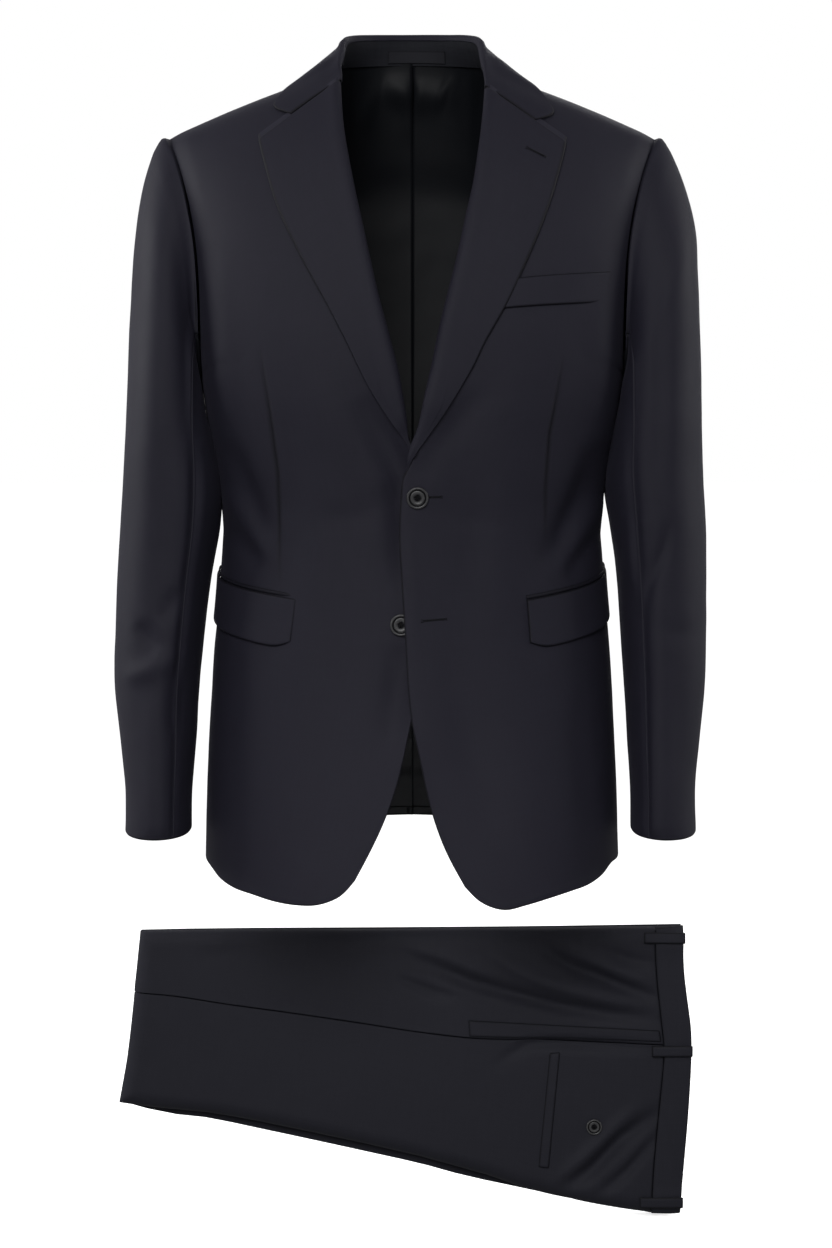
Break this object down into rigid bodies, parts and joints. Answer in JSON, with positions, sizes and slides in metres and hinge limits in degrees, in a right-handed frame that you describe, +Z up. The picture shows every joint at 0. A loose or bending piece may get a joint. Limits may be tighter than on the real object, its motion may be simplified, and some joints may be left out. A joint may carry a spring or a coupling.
{
  "type": "two-piece suit",
  "caption": "Single-breasted suit jacket in its worn, hollow form with notch lapels, flap pockets and two buttons on the front edge, above its folded trousers.",
  "frame": {"origin": "middle of the neck opening, level with the seam of the collar, where the wearer's neck and shoulders hold the jacket", "axes": "+X to the wearer's left, +Y to the wearer's back, +Z up; the front of the jacket and the visible side of the trousers face -Y"},
  "size_m": [0.5484, 0.2635, 1.1201],
  "materials": {
    "jacket_cloth": "fine dark worsted wool, matt with a slight sheen",
    "trouser_cloth": "the same worsted wool, pressed",
    "lining": "smooth dark lining cloth with a soft satin shine",
    "button": "dark horn-like resin, half shiny"
  },
  "bodies": {
    "root": {"front_left": "jacket_cloth", "front_right": "jacket_cloth", "side_left": "jacket_cloth", "side_right": "jacket_cloth", "back_left": "jacket_cloth", "back_right": "jacket_cloth", "lining_back_left": "lining", "lining_back_right": "lining", "lapel_left": "jacket_cloth", "lapel_right": "jacket_cloth", "collar": "jacket_cloth", "collar_stand": "jacket_cloth", "neck_patch": "lining", "sleeve_top_left": "jacket_cloth", "sleeve_top_right": "jacket_cloth", "sleeve_under_left": "jacket_cloth", "sleeve_under_right": "jacket_cloth", "chest_welt": "jacket_cloth", "flap_left": "jacket_cloth", "flap_right": "jacket_cloth", "jet_left": "jacket_cloth", "jet_right": "jacket_cloth", "button_upper": "button", "button_lower": "button", "leg_front": "trouser_cloth", "leg_back": "trouser_cloth", "leg_hidden_layers": "trouser_cloth", "waistband": "trouser_cloth", "belt_loop_1": "trouser_cloth", "belt_loop_2": "trouser_cloth", "belt_loop_3": "trouser_cloth", "side_pocket": "trouser_cloth", "back_pocket_welt": "trouser_cloth", "pocket_button": "button"}
  },
  "joints": []
}
